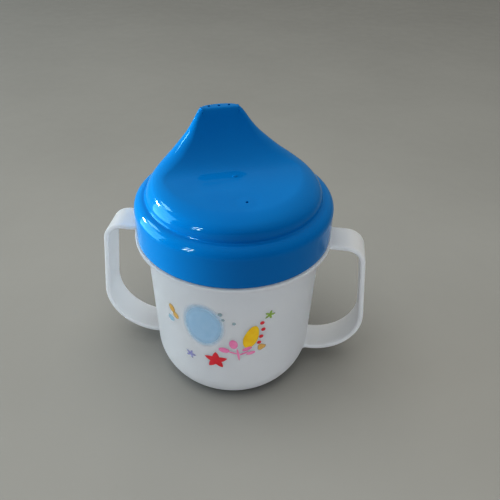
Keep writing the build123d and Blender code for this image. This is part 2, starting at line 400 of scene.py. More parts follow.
class Surface(Nodes):
    """One Principled material: mottled colour, uneven roughness, stacked bumps."""

    def __init__(self, name):
        self.material = bpy.data.materials.new(name)
        self.material.use_nodes = True
        super().__init__(self.material.node_tree)
        self.tree.nodes.clear()
        self.shader = self.add("ShaderNodeBsdfPrincipled")
        out = self.add("ShaderNodeOutputMaterial")
        self.link(self.shader, "BSDF", out, "Surface")
        self.coords = self.add("ShaderNodeTexCoord")

    def noise(self, scale, detail, stretch=None, rough=0.5):
        """Noise in object space, scale in features per metre, with an optional stretch."""
        node = self.add("ShaderNodeTexNoise", Scale=scale, Detail=detail, Roughness=rough)
        if stretch is None:
            self.link(self.coords, "Object", node, "Vector")
        else:
            turn = self.add("ShaderNodeMapping", Scale=stretch)
            self.link(self.coords, "Object", turn, "Vector")
            self.link(turn, "Vector", node, "Vector")
        return node

    def colour(self, noise, *stops):
        """Colour the surface by a noise, from stops of (position, colour)."""
        ramp = self.add("ShaderNodeValToRGB")
        for element, (position, tone) in zip(ramp.color_ramp.elements, stops, strict=True):
            element.position = position
            element.color = (*tone, 1)
        self.link(noise, "Fac", ramp, "Fac")
        self.link(ramp, "Color", self.shader, "Base Color")

    def roughness(self, noise, given, wanted):
        """Vary the roughness over a wanted range as a noise runs over a given one."""
        self.link(self.spread(noise, "Fac", given, wanted), "Result", self.shader, "Roughness")

    def bumps(self, *layers):
        """Stack bumps, each a (noise, strength, depth in metres), coarse ones first."""
        below = None
        for noise, strength, depth in layers:
            node = self.add("ShaderNodeBump", Strength=strength, Distance=depth)
            self.link(noise, "Fac", node, "Height")
            if below is not None:
                self.link(below, "Normal", node, "Normal")
            below = node
        self.link(below, "Normal", self.shader, "Normal")

    def constants(self, values):
        """Set the shader's own sockets."""
        for key, value in values.items():
            self.shader.inputs[key].default_value = value


def glossy_lid_plastic():
    """Saturated blue moulded polypropylene, glossy, with faint waves and fine scuffs."""
    m = Surface("lid_plastic_blue")
    m.colour(m.noise(28, 3), (0.3, (0.0, 0.225, 0.585)), (0.7, (0.0, 0.245, 0.61)))
    m.roughness(m.noise(60, 6, stretch=(1, 9, 1), rough=0.7), (0.35, 0.75), (0.06, 0.13))
    m.bumps((m.noise(45, 1), 0.25, 0.0006), (m.noise(900, 2), 0.05, 0.00008))
    m.constants({"IOR": 1.49, "Specular IOR Level": 0.3})
    return m.material


def frosted_plastic():
    """Milky natural polypropylene: a matte, finely grained wall that scatters light inside it."""
    m = Surface("cup_plastic_frosted")
    m.colour(m.noise(40, 3), (0.3, (0.875, 0.90, 0.955)), (0.7, (0.90, 0.92, 0.965)))
    m.roughness(m.noise(120, 4), (0.3, 0.7), (0.38, 0.5))
    m.bumps((m.noise(30, 1), 0.3, 0.0008), (m.noise(2600, 3), 0.25, 0.00005))
    m.constants({"Transmission Weight": 0.25, "IOR": 1.49, "Sheen Weight": 0.12})
    m.constants({"Subsurface Weight": 0.9, "Subsurface Radius": (1.0, 1.0, 1.0), "Subsurface Scale": 0.004})
    return m.material


def soft_rubber():
    """Clear-white silicone with a dusty sheen."""
    m = Surface("silicone_white")
    m.colour(m.noise(90, 3), (0.3, (0.74, 0.76, 0.77)), (0.7, (0.80, 0.81, 0.81)))
    m.roughness(m.noise(200, 3), (0.3, 0.7), (0.42, 0.58))
    m.bumps((m.noise(1500, 3), 0.2, 0.00005))
    m.constants({"Transmission Weight": 0.15, "Sheen Weight": 0.2})
    return m.material


def printed_ink(name, low, high, opacity):
    """Pad-printed ink with slight mottling; one with an opacity is sheer and fades at its edge."""
    m = Surface(name)
    m.colour(m.noise(350, 4), (0.35, low), (0.7, high))
    m.roughness(m.noise(900, 2), (0.3, 0.7), (0.3, 0.42))
    m.bumps((m.noise(2600, 2), 0.2, 0.00003))
    if opacity is not None:
        edge = m.add("ShaderNodeAttribute", attribute_name="inward")
        fade = m.spread(edge, "Fac", (0.0, 0.42), (0.0, opacity), interpolation_type="SMOOTHSTEP")
        m.link(fade, "Result", m.shader, "Alpha")
    return m.material


def pale_table():
    """A pale matte table top with a barely visible grain."""
    m = Surface("floor_pale")
    m.colour(m.noise(7, 4), (0.3, (0.245, 0.244, 0.231)), (0.7, (0.262, 0.261, 0.247)))
    m.roughness(m.noise(60, 3), (0.3, 0.7), (0.5, 0.62))
    m.bumps((m.noise(1200, 2), 0.08, 0.0001))
    return m.material


# ------------------------------------------------------------------ cup with its handles
BOWL_CENTRE = (
    BASE_FLAT_R + (FOOT_ARC_R - BOWL_ARC_R) * sin(radians(FOOT_ARC_DEG)),
    FOOT_ARC_R + (BOWL_ARC_R - FOOT_ARC_R) * cos(radians(FOOT_ARC_DEG)),
)
BOWL_TOP = (
    BOWL_CENTRE[0] + BOWL_ARC_R * cos(radians(WALL_LEAN_DEG)),
    BOWL_CENTRE[1] - BOWL_ARC_R * sin(radians(WALL_LEAN_DEG)),
)


def wall_radius(z):
    """Outer radius of the cup's wall at a height, below the flange."""
    z = np.asarray(z, float)
    drop = np.clip(BOWL_CENTRE[1] - z, 0, BOWL_ARC_R)
    bowl = BOWL_CENTRE[0] + np.sqrt(BOWL_ARC_R**2 - drop**2)
    line = BOWL_TOP[0] + (NECK_R - BOWL_TOP[0]) * (z - BOWL_TOP[1]) / (FLANGE_TOP - BOWL_TOP[1])
    return np.where(z < BOWL_TOP[1], bowl, line)


def cup_curve(inset, steps):
    """Return the wall's curve from the foot to the top of the bowl, moved in by inset."""
    foot = arc((BASE_FLAT_R, FOOT_ARC_R), FOOT_ARC_R - inset, -90, FOOT_ARC_DEG - 90, steps)
    bowl = arc(BOWL_CENTRE, BOWL_ARC_R - inset, FOOT_ARC_DEG - 90, -WALL_LEAN_DEG, 3 * steps)
    return foot + bowl[1:]


def cup_mesh():
    """One closed shell: foot recess, foot, bowl, wall, flange, threaded neck and inside."""
    flange_low = FLANGE_TOP - FLANGE_T
    thread_low = NECK_THREAD_START - THREAD_ROOT_W / 2
    thread_top = NECK_THREAD_START + PITCH * THREAD_TURNS + THREAD_ROOT_W / 2
    inner_r = NECK_R - CUP_WALL
    foot = rounded(
        [
            (POLE_R, FOOT_RECESS, 0),
            (FOOT_RECESS_R, FOOT_RECESS, FOOT_ROUND),
            (FOOT_RECESS_R + FOOT_RECESS_LEAN, 0, FOOT_ROUND),
            (BASE_FLAT_R, 0, 0),
        ]
    )
    upper = rounded(
        [
            (*BOWL_TOP, 0),
            (float(wall_radius(flange_low)), flange_low, FLANGE_UNDER_ROUND),
            (FLANGE_R, flange_low, EDGE_ROUND),
            (FLANGE_R, FLANGE_TOP, EDGE_ROUND),
            (NECK_R, FLANGE_TOP, NECK_FOOT_ROUND),
            (NECK_R, thread_low, 0),
        ]
    )
    threaded = filled([(NECK_R, thread_low), (NECK_R, thread_top)], THREAD_STEP)
    lip = rounded(
        [
            (NECK_R, thread_top, 0),
            (NECK_R, NECK_TOP, LIP_ROUND),
            (inner_r, NECK_TOP, LIP_ROUND),
            (inner_r, FLANGE_TOP, 0),
            (BOWL_TOP[0] - CUP_WALL, BOWL_TOP[1], 0),
        ]
    )
    outside = foot[:-1] + cup_curve(0, 8)
    inside = cup_curve(CUP_WALL, 7)[::-1]
    profile = filled(outside + upper[1:], CUP_STEP) + threaded[1:]
    profile += filled(lip[:-1] + inside, CUP_STEP)[1:]
    profile += [(CUP_FLOOR_RING_R, CUP_WALL), (POLE_R, CUP_WALL)]
    angles = np.arange(CUP_COLUMNS) * 2 * pi / CUP_COLUMNS

    def ridge(r, z, a):
        on_neck = np.abs(r - NECK_R) < SAME_R
        return thread_height(z, a, NECK_THREAD_START) * on_neck * (z > NECK_THREAD_START - THREAD_ROOT_W)

    points = turned(profile, angles, ridge)
    return ring_mesh("cup", points, start=(0, 0, FOOT_RECESS), end=(0, 0, CUP_WALL))


def strap_section(grow):
    """Return the strap's section as (across, through) points, grown outwards all round."""
    half_w = STRAP_W / 2 + grow
    half_t = STRAP_T / 2 + grow
    corner = STRAP_ROUND + grow
    arcs = []
    for sx, sy, start in ((1, 1, 0), (-1, 1, 90), (-1, -1, 180), (1, -1, 270)):
        centre = (sx * (half_w - corner), sy * (half_t - corner))
        arcs.append(arc(centre, corner, start, start + 90, 4))
    upper_flat = filled([arcs[0][-1], arcs[1][0]], STRAP_STEP)[1:-1]
    lower_flat = filled([arcs[2][-1], arcs[3][0]], STRAP_STEP)[1:-1]
    return np.array(arcs[0] + upper_flat + arcs[1] + arcs[2] + lower_flat + arcs[3])


def root_rings(arm_z, turn_over):
    """Return the rings of one strap's end, from inside the wall out over its fillet.

    turn_over is -1 on the lower arm, where the sweep arrives with its section upside down.
    """
    places = [-ROOT_SINK, -ROOT_OVERLAP]
    places += [ROOT_FILLET * (1 - cos(x)) for x in np.radians(FILLET_DEG)]
    rings = []
    for away in places:
        reach = min(max(away + ROOT_OVERLAP, 0), ROOT_FILLET)
        grow = ROOT_FILLET - sqrt(ROOT_FILLET**2 - (ROOT_FILLET - reach) ** 2)
        across, through = strap_section(min(grow, FILLET_SPREAD * ROOT_FILLET)).T
        height = arm_z + turn_over * through
        out = np.sqrt((wall_radius(height) + away) ** 2 - across**2)
        rings.append(np.stack([out, across, height], axis=-1))
    return rings


def handle_mesh(side):
    """Sweep one strap, with a small fillet where it grows out of the wall."""
    half_t = STRAP_T / 2
    top_z = HANDLE_TOP - half_t
    low_z = HANDLE_LOW + half_t
    root_top = float(wall_radius(top_z))
    root_low = float(wall_radius(low_z))
    route = rounded(
        [
            (root_top, top_z, 0),
            (HANDLE_REACH_TOP - half_t, top_z, HANDLE_TOP_R - half_t),
            (HANDLE_REACH_LOW - half_t, low_z, HANDLE_LOW_R - half_t),
            (root_low, low_z, 0),
        ],
        steps=18,
    )
    route = np.array(filled(route, CUP_STEP))
    tangent = np.gradient(route, axis=0)
    tangent /= np.linalg.norm(tangent, axis=1)[:, None]
    body = []
    for point, ahead in zip(route, tangent):
        in_top_root = point[1] > top_z - ARM_SLACK and point[0] < root_top + ROOT_CLEAR_TOP
        in_low_root = point[1] < low_z + ARM_SLACK and point[0] < root_low + ROOT_CLEAR_LOW
        if in_top_root or in_low_root:
            continue
        ring = strap_section(0)
        normal = np.array((-ahead[1], ahead[0]))
        xz = point[None, :] + ring[:, 1:] * normal[None, :]
        body.append(np.stack([xz[:, 0], ring[:, 0], xz[:, 1]], axis=-1))
    points = np.array(root_rings(top_z, 1) + body + root_rings(low_z, -1)[::-1])
    points[..., 0] *= side
    start, end = points[0].mean(axis=0), points[-1].mean(axis=0)
    return ring_mesh("handle", points, start=start, end=end)


cup = new_object("cup_with_handles", cup_mesh())
boolean(cup, joined("straps", [handle_mesh(1), handle_mesh(-1)]), "UNION")
dress(cup, frosted_plastic())
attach(cup, "cup")
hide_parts("cup_body", "handle_left", "handle_right")


# ------------------------------------------------------------------ lid
def spline(xs, ys):
    """Return a natural cubic spline through the points."""
    xs, ys = np.array(xs, float), np.array(ys, float)
    n = len(xs)
    h = np.diff(xs)
    system = np.eye(n)
    right = np.zeros(n)
    for k in range(1, n - 1):
        system[k, k - 1 : k + 2] = h[k - 1], 2 * (h[k - 1] + h[k]), h[k]
        right[k] = 6 * ((ys[k + 1] - ys[k]) / h[k] - (ys[k] - ys[k - 1]) / h[k - 1])
    second = np.linalg.solve(system, right)

    def at(x):
        k = np.clip(np.searchsorted(xs, x) - 1, 0, n - 2)
        a, b = xs[k + 1] - x, x - xs[k]
        bend = (second[k] * a**3 + second[k + 1] * b**3) / (6 * h[k])
        left = (ys[k] / h[k] - second[k] * h[k] / 6) * a
        return bend + left + (ys[k + 1] / h[k] - second[k + 1] * h[k] / 6) * b

    return at


def section_at(height, half_w):
    """Return a spout section's centre, half width and half depth."""
    rise = (height - TIER_BASE) / (TIP_Z - TIER_BASE)
    shift = max(0.0, (height - CENTRE_START) / (TIP_Z - CENTRE_START))
    back = TIER_R - (TIER_R - TIP_BACK) * rise**BACK_POWER
    front = min(TIER_R, half_w + FRONT_FULL)
    centre = max(TIP_CENTRE * shift**CENTRE_POWER, (back - front) / 2)
    return centre, half_w, back - centre


STATIONS = ((TIER_BASE, TIER_R), *SPOUT_SIDES, (TIP_Z, TIP_HALF_W))
SECTIONS = [section_at(*s) for s in STATIONS]
STATION_Z = [s[0] for s in STATIONS]
centre_at = spline(STATION_Z, [s[0] for s in SECTIONS])
half_w_at = spline(STATION_Z, [s[1] for s in SECTIONS])
half_d_at = spline(STATION_Z, [s[2] for s in SECTIONS])


def face_height(x, y):
    """Height of the top face, rising into the spout, with its faint sink marks."""
    rise = (np.clip(y, 0, None) / TIP_FRONT) ** FACE_POWER
    face = FACE_Z + (TIP_Z - FACE_Z) * rise
    top = (face + TIP_Z - np.sqrt((face - TIP_Z) ** 2 + TIP_EDGE**2)) / 2
    sink = np.exp(-(((x - SINK_X) / SINK_HALF_X) ** 4) - ((y - SINK_Y) / SINK_HALF_Y) ** 4)
    ring = np.exp(-(((np.hypot(x, y - VENT_Y) - VENT_SOCKET_R) / RING_HALF_W) ** 2))
    return top - SINK_DEPTH * sink - RING_DEPTH * ring


def slope(function, at, axis):
    """Slope of a function of a point along one of its axes."""
    ahead, behind = list(at), list(at)
    ahead[axis] = at[axis] + NUDGE
    behind[axis] = at[axis] - NUDGE
    return (function(*ahead) - function(*behind)) / (2 * NUDGE)


def top_distance(x, y, z):
    """Distance above the top face, to first order."""
    slope_x, slope_y = (slope(face_height, (x, y), axis) for axis in (0, 1))
    return (z - face_height(x, y)) / np.sqrt(1 + slope_x**2 + slope_y**2)


def outline(x, y, z):
    """Below 0 inside the spout's section at a height, and above 0 outside it."""
    return np.hypot(x / half_w_at(z), (y - centre_at(z)) / half_d_at(z)) - 1


def side_distance(x, y, z):
    """Distance outside the spout's sides, to first order."""
    gx, gy, gz = (slope(outline, (x, y, z), axis) for axis in (0, 1, 2))
    return outline(x, y, z) / np.sqrt(gx**2 + gy**2 + gz**2)


def crowded_angles():
    """Return the columns' angles, clockwise from the spout and closer together round it."""
    even = np.linspace(-pi, pi, 4001)
    density = 1 + SPOUT_CROWDING * np.exp(-((even / radians(SPOUT_CROWD_DEG)) ** 2))
    share = np.concatenate([[0], np.cumsum((density[1:] + density[:-1]) / 2)])
    return np.interp(np.arange(LID_COLUMNS) / LID_COLUMNS, share / share[-1], even)


LID_ANGLES = crowded_angles()
SX, SY = np.sin(LID_ANGLES), np.cos(LID_ANGLES)


def fold_point(inset):
    """For each direction, the radius and height where face and side meet, moved in by inset."""
    low, high = np.zeros(LID_COLUMNS), np.full(LID_COLUMNS, TIER_R + 1)
    for _ in range(HALVINGS):
        r = (low + high) / 2
        z = under_face(r, inset)
        inside = side_distance(r * SX, r * SY, z) < -inset
        low, high = np.where(inside, r, low), np.where(inside, high, r)
    return r, under_face(r, inset)


def under_face(r, inset):
    """Height of the face at a radius, moved in by inset."""
    x, y = r * SX, r * SY
    return face_height(x, y) - inset * np.sqrt(1 + slope(face_height, (x, y), 1) ** 2)


def fold_rows(inset, rounding, steps):
    """Rows of (r, z) round the fold, from the face over to the side."""
    r0, z0 = fold_point(inset)
    beta = np.radians(np.linspace(0, 90, steps + 1))[:, None]
    r = np.repeat(r0[None, :], steps + 1, axis=0)
    z = np.repeat(z0[None, :], steps + 1, axis=0)
    for grown in np.linspace(1 / FOLD_STAGES, 1, FOLD_STAGES):
        rho = rounding(z0) * grown
        want_top = rho * (np.cos(beta) - 1) - inset
        want_side = rho * (np.sin(beta) - 1) - inset
        for _ in range(FOLD_PASSES):
            h = FOLD_NUDGE
            x, y = r * SX, r * SY
            top, side = top_distance(x, y, z), side_distance(x, y, z)
            xr, yr = (r + h) * SX, (r + h) * SY
            top_r = (top_distance(xr, yr, z) - top) / h
            side_r = (side_distance(xr, yr, z) - side) / h
            top_z = (top_distance(x, y, z + h) - top) / h
            side_z = (side_distance(x, y, z + h) - side) / h
            det = top_r * side_z - top_z * side_r
            det = np.where(np.abs(det) < FOLD_DET, FOLD_DET * np.sign(det + 1e-9), det)
            e_top, e_side = want_top - top, want_side - side
            r = r + np.clip((e_top * side_z - e_side * top_z) / det, -FOLD_LIMIT, FOLD_LIMIT)
            z = z + np.clip((top_r * e_side - side_r * e_top) / det, -FOLD_LIMIT, FOLD_LIMIT)
    return r, z


def side_radius(z, inset):
    """Radius of the side at heights z[row, column], moved in by inset."""
    c, w, d = centre_at(z), half_w_at(z), half_d_at(z)
    a = (SX / w) ** 2 + (SY / d) ** 2
    b = -2 * c * SY / d**2
    root = np.sqrt(np.clip(b**2 - 4 * a * ((c / d) ** 2 - 1), 0, None))
    r = (root - b) / (2 * a)
    if inset:
        r = r - inset
        for _ in range(INSET_PASSES):
            miss = side_distance(r * SX, r * SY, z) + inset
            r = r - np.clip(miss, -INSET_LIMIT, INSET_LIMIT)
    return r


def level_rows(profile):
    """Rows of (r, z) that are the same in each direction."""
    p = np.array(profile, float)
    return np.repeat(p[:, :1], LID_COLUMNS, axis=1), np.repeat(p[:, 1:], LID_COLUMNS, axis=1)


def face_rows(edge_r):
    """Rows of the top face from its middle out to the fold, with the gate's stub."""
    stub = np.array(GATE_RINGS)[:, None] * np.ones(LID_COLUMNS)
    share = np.linspace(0, 1, FACE_ROWS)[1:-1, None]
    share = 1 - (1 - share) ** FACE_CROWDING
    r = np.concatenate([stub, stub[-1] + (edge_r - stub[-1]) * share])
    step = np.clip((GATE_R + GATE_FOOT - r) / GATE_SIDE, 0, 1)
    return r, face_height(r * SX, r * SY) + GATE_H * step * step * (3 - 2 * step)


def side_rows(start_z, end_z, share, inset):
    """Rows of the lid's side from one height to another, moved in by inset."""
    z = start_z + (end_z - start_z) * share[:, None]
    return side_radius(z, inset), z


def bore_rows(low, high):
    """Rows of the skirt's bore between two heights, with its thread."""
    bore = filled([(SKIRT_BORE_R, low), (SKIRT_BORE_R, high)], THREAD_STEP)
    r, z = level_rows(bore[1:])
    # the columns run clockwise from the spout, so this is their angle from +X
    around = radians(90 + SPOUT_DEG) - LID_ANGLES
    return r - thread_height(z, np.broadcast_to(around, z.shape), LID_THREAD_START), z


def lid_mesh():
    """One closed shell: face, fold, flanks, tier, groove, shoulder, skirt, thread and inside."""
    thread_low = LID_THREAD_START - THREAD_ROOT_W / 2
    thread_top = LID_THREAD_START + PITCH * THREAD_TURNS + THREAD_ROOT_W / 2
    groove_top = TIER_BASE + GROOVE_R
    fold_r, fold_z = fold_rows(0.0, lambda z: np.interp(z, FOLD_ROUND_Z, FOLD_ROUND_R), 12)
    in_r, in_z = fold_rows(LID_WALL, lambda z: INNER_ROUND, 4)
    in_r, in_z = in_r[::-1], in_z[::-1]
    groove = arc((TIER_R + GROOVE_R, groove_top), GROOVE_R, 180, 270, 5)[1:]
    shoulder_centre = (SKIRT_R_TOP - SHOULDER_R, TIER_BASE - SHOULDER_R)
    shoulder = arc(shoulder_centre, SHOULDER_R, SHOULDER_TOP_DEG, 0, 16)
    skirt = rounded(
        [
            (SKIRT_R_TOP, TIER_BASE - SHOULDER_R, 0),
            (SKIRT_R_BOTTOM, SKIRT_BOTTOM, SKIRT_OUT_ROUND),
            (SKIRT_BORE_R, SKIRT_BOTTOM, SKIRT_IN_ROUND),
            (SKIRT_BORE_R, thread_low, 0),
        ]
    )
    under = rounded(
        [
            (SKIRT_BORE_R, thread_top, 0),
            (SKIRT_BORE_R, SEAT_Z, SEAT_ROUND),
            (PLUG_LIP_OUT, SEAT_Z, PLUG_ROOT_ROUND),
            (PLUG_LIP_OUT, PLUG_LIP_BOTTOM, PLUG_LIP_ROUND),
            (PLUG_LIP_IN, PLUG_LIP_BOTTOM, PLUG_LIP_ROUND),
            (PLUG_LIP_IN, TIER_BASE, 0),
        ]
    )
    ceiling_r = POLE_R + (in_r[-1] - POLE_R) * np.linspace(1, 0, CEILING_ROWS)[1:-1, None]
    rows = [
        face_rows(fold_r[0]),
        (fold_r, fold_z),
        side_rows(fold_z[-1], groove_top, np.linspace(0, 1, SIDE_ROWS)[1:], 0.0),
        level_rows(filled(groove + shoulder + skirt[1:], LID_STEP)),
        bore_rows(thread_low, thread_top),
        level_rows(filled(under[1:], LID_STEP)),
        side_rows(TIER_BASE, in_z[0], np.linspace(0, 1, IN_SIDE_ROWS)[1:-1], LID_WALL),
        (in_r, in_z),
        (ceiling_r, under_face(ceiling_r, LID_WALL)),
    ]
    r = np.concatenate([a for a, _ in rows])
    z = np.minimum(np.concatenate([b for _, b in rows]), TIP_Z)
    points = np.stack([r * SX, r * SY, z], axis=-1)
    return ring_mesh("lid", points, start=(0, 0, FACE_Z + GATE_H), end=(0, 0, FACE_Z - LID_WALL))


def socket_mesh(centre_y, half_x, half_y, wall):
    """A tube under the lid that stops inside the shell above it."""
    t = np.arange(SOCKET_COLUMNS) * 2 * pi / SOCKET_COLUMNS
    rings = []
    for grow in (wall, 0.0):
        x = (half_x + grow) * np.cos(t)
        y = centre_y + (half_y + grow) * np.sin(t)
        low, high = np.full(SOCKET_COLUMNS, TUBE_BOTTOM), np.full(SOCKET_COLUMNS, TIP_Z)
        for _ in range(HALVINGS):
            mid = (low + high) / 2
            outside = np.maximum(top_distance(x, y, mid), side_distance(x, y, mid))
            deep = outside < -SOCKET_BITE * LID_WALL
            low, high = np.where(deep, mid, low), np.where(deep, high, mid)
        levels = [TUBE_BOTTOM + (low - TUBE_BOTTOM) * s for s in np.linspace(0, 1, SOCKET_ROWS)]
        column = [np.stack([x, y, level], axis=-1) for level in levels]
        rings += column if grow else column[::-1]
    return ring_mesh("socket", np.array(rings), wrap_rows=True)


def drill_mesh(x, y, radius, top):
    """A drill with a softened mouth, through the shell below a point."""
    profile = [(radius, top - DRILL_WALLS * LID_WALL)]
    profile += [(radius + wider, top - deep) for wider, deep in HOLE_MOUTH]
    profile += [(profile[-1][0], top + 1)]
    t = np.arange(DRILL_COLUMNS) * 2 * pi / DRILL_COLUMNS
    points = turned(profile, t) + np.array((x, y, 0))
    return ring_mesh("drill", points, start=(x, y, profile[0][1]), end=(x, y, profile[-1][1]))


lid = new_object("spout_lid", lid_mesh())
sockets = [
    socket_mesh(TUBE_Y, TUBE_HALF_W, TUBE_HALF_D, TUBE_WALL),
    socket_mesh(VENT_Y, VENT_SOCKET_R, VENT_SOCKET_R, VENT_SOCKET_WALL),
]
boolean(lid, joined("sockets", sockets), "UNION")
drills = [drill_mesh(0, VENT_Y, VENT_R, FACE_Z)]
drills += [drill_mesh(k * DRINK_HOLE_GAP, TIP_HOLE_Y, DRINK_HOLE_R, TIP_Z) for k in (-1, 0, 1)]
boolean(lid, joined("drills", drills), "DIFFERENCE")
lid.data.transform(Matrix.Rotation(radians(SPOUT_DEG), 4, "Z"))
dress(lid, glossy_lid_plastic())
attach(lid, "lid")
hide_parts("screw_lid")

silicone = soft_rubber()
for node in ("lid_gasket", "spill_valve"):
    dress(frame["nodes"][node], silicone)


# ------------------------------------------------------------------ printed motifs on the wall
INK_TOP = 0.05              # heights of the film's two faces above the wall
INK_UNDER = 0.02


def wrapped(name, u, v, inward, angle_deg, height, ink):
    """Wrap rows of flat points (u across, v up) round the wall as a thin printed film.

    inward says how far in from the edge each row is, from 0 to 1.
    """
    z = height + v
    angle = radians(angle_deg) + u / wall_radius(height)
    layers = []
    for proud in (INK_TOP, INK_UNDER):
        r = wall_radius(z) + proud
        layers.append(np.stack([r * np.sin(angle), -r * np.cos(angle), z], axis=-1))
    points = np.concatenate([layers[0], layers[1][::-1]])
    rows, cols = points.shape[:2]
    fade = np.concatenate([inward, inward[::-1]]) * np.ones(cols)
    mesh = bpy.data.meshes.new(name)
    mesh.from_pydata((points.reshape(-1, 3) * MM).tolist(), [], grid_faces(rows, cols, 0))
    layer = mesh.attributes.new("inward", "FLOAT", "POINT")
    layer.data.foreach_set("value", np.ascontiguousarray(fade, np.float32).ravel())
    obj = new_object(name, mesh, ink)
    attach(obj, "cup")


def blot(name, edge, angle_deg, height, ink, turn=0.0, count=72, rings=8):
    """A printed shape given by its edge radius in each direction."""
    t = np.arange(count) * 2 * pi / count
    reach = np.linspace(0, 1, rings)[:, None]
    radius = edge(t)[None, :] * reach
    u = radius * np.cos(t + turn)
    v = radius * np.sin(t + turn)
    wrapped(name, u, v, 1 - reach, angle_deg, height, ink)


def petals(size, count, depth):
    """Edge of a flower with rounded petals."""
    return lambda t: size * (1 - depth + depth * np.cos(count * t))


def oval(half_u, half_v):
    """Edge of an oval."""
    return lambda t: half_u * half_v / np.hypot(half_v * np.cos(t), half_u * np.sin(t))


def drop(half_v, slender):
    """Edge of an upright drop, wider below."""
    return lambda t: half_v * slender / np.hypot(slender * np.sin(t), np.cos(t)) * (1 - 0.16 * np.sin(t))


def star(size, points=5, waist=0.5):
    """Edge of a star, upright on two points, with hollow sides."""

    def edge(t):
        turn = np.abs(((t - pi / 2) * points / (2 * pi)) % 1 - 0.5) * 2
        return size * (waist + (1 - waist) * turn**1.4)

    return edge


# two tones of each ink, and the opacity of the sheer ones
INK_TONES = {
    "blue": ((0.47, 0.69, 0.87), (0.53, 0.73, 0.90), 0.6),
    "cyan": ((0.40, 0.66, 0.82), (0.46, 0.70, 0.84), 0.5),
    "red": ((0.62, 0.035, 0.05), (0.72, 0.06, 0.08), None),
    "yellow": ((0.80, 0.50, 0.02), (0.86, 0.60, 0.04), None),
    "amber": ((0.80, 0.50, 0.14), (0.84, 0.58, 0.22), 0.7),
    "pink": ((0.76, 0.22, 0.42), (0.84, 0.33, 0.52), None),
    "green": ((0.34, 0.50, 0.10), (0.44, 0.60, 0.16), 0.75),
    "lilac": ((0.40, 0.40, 0.72), (0.48, 0.48, 0.76), 0.55),
    "grey": ((0.36, 0.47, 0.52), (0.44, 0.55, 0.58), 0.55),
}
INKS = {name: printed_ink(f"ink_{name}", *tones) for name, tones in INK_TONES.items()}

SPRIG_DEG = 12.6
SPRIG_Z = 34.2
# each leaf's and stem's place across and up from the sprig's middle, half sizes and turn in degrees
SPRIG = (
    (-2.4, 4.6, 1.7, 2.6, 12),
    (-6.2, 1.0, 2.3, 1.4, -18),
    (3.2, 1.6, 2.1, 1.0, 24),
    (4.8, -1.2, 1.9, 0.9, 14),
    (-0.4, -1.6, 0.45, 3.6, 8),
    (-2.6, -0.4, 2.2, 0.4, -22),
    (1.8, -1.0, 2.2, 0.4, 24),
)
# angle round the wall, height and radius of each dot
RED_DOTS = ((27.0, 49.6, 0.9), (28.0, 45.8, 0.9), (26.8, 42.0, 0.9), (25.6, 38.6, 0.9))
GREY_DOTS = ((0.5, 55.4, 1.1), (2.2, 52.6, 0.8), (9.0, 50.8, 0.9))

blot("print_cloud_blue", oval(9.6, 12.6), -11.0, 47.5, INKS["blue"], count=96, rings=14)
blot("print_spot_cyan", oval(2.2, 1.9), -36.5, 43.6, INKS["cyan"])
blot("print_star_red", star(5.0), -3.0, 28.4, INKS["red"], count=100)
blot("print_shell_yellow_0", oval(1.9, 2.5), -34.8, 49.8, INKS["amber"], turn=radians(28))
blot("print_shell_yellow_1", oval(1.7, 2.1), -31.6, 46.9, INKS["amber"], turn=radians(38))
blot("print_flower_green", petals(2.6, 5, 0.32), 31.9, 53.1, INKS["green"])
blot("print_flower_lilac", petals(2.9, 5, 0.3), -21.3, 27.9, INKS["lilac"])
for k, (across, up, half_u, half_v, turn) in enumerate(SPRIG):
    leaf_deg = SPRIG_DEG + np.degrees(across / wall_radius(SPRIG_Z))
    leaf = oval(half_u, half_v)
    blot(f"print_sprig_pink_{k}", leaf, leaf_deg, SPRIG_Z + up, INKS["pink"], turn=radians(turn))
blot("print_drop_yellow", drop(6.3, 0.46), 20.6, 43.4, INKS["yellow"], turn=radians(-14))
blot("print_curl_amber", petals(2.3, 3, 0.12), 27.4, 35.6, INKS["amber"])
for colour, dots in (("red", RED_DOTS), ("grey", GREY_DOTS)):
    for k, (angle, height, size) in enumerate(dots):
        spot = oval(size, size)
        blot(f"print_dot_{colour}_{k}", spot, angle, height, INKS[colour], count=32, rings=4)


# ------------------------------------------------------------------ floor, light and camera
FLOOR_HALF = 6.0


def floor():
    """A wide plain table top."""
    mesh = bpy.data.meshes.new("floor")
    corners = [(x * FLOOR_HALF, y * FLOOR_HALF, 0) for x, y in ((-1, -1), (1, -1), (1, 1), (-1, 1))]
    mesh.from_pydata(corners, [], [(0, 1, 2, 3)])
    obj = bpy.data.objects.new("floor", mesh)
    bpy.context.scene.collection.objects.link(obj)
    mesh.materials.append(pale_table())
    return obj


def group(name, objects=()):
    """A collection that says what a light reaches, or what blocks it."""
    collection = bpy.data.collections.new(name)
    for obj in objects:
        collection.objects.link(obj)
    return collection


def area_light(name, place, target, size, power, colour):
    """A rectangular soft box at a place in metres, facing a target."""
    data = bpy.data.lights.new(name, "AREA")
    data.shape = "RECTANGLE"
    data.size, data.size_y = size
    data.energy = power
    data.color = colour
    obj = bpy.data.objects.new(name, data)
    obj.location = place
    aim = Vector(target) - Vector(place)
    obj.rotation_euler = aim.to_track_quat("-Z", "Y").to_euler()
    bpy.context.scene.collection.objects.link(obj)
    return obj


def soft_fill(name, place, target, size, power, colour, receivers=None):
    """A soft box that makes no highlights, and lights only its receivers if it has any."""
    light = area_light(name, place, target, size, power, colour)
    light.visible_glossy = False
    if receivers is not None:
        light.light_linking.receiver_collection = receivers
    return light


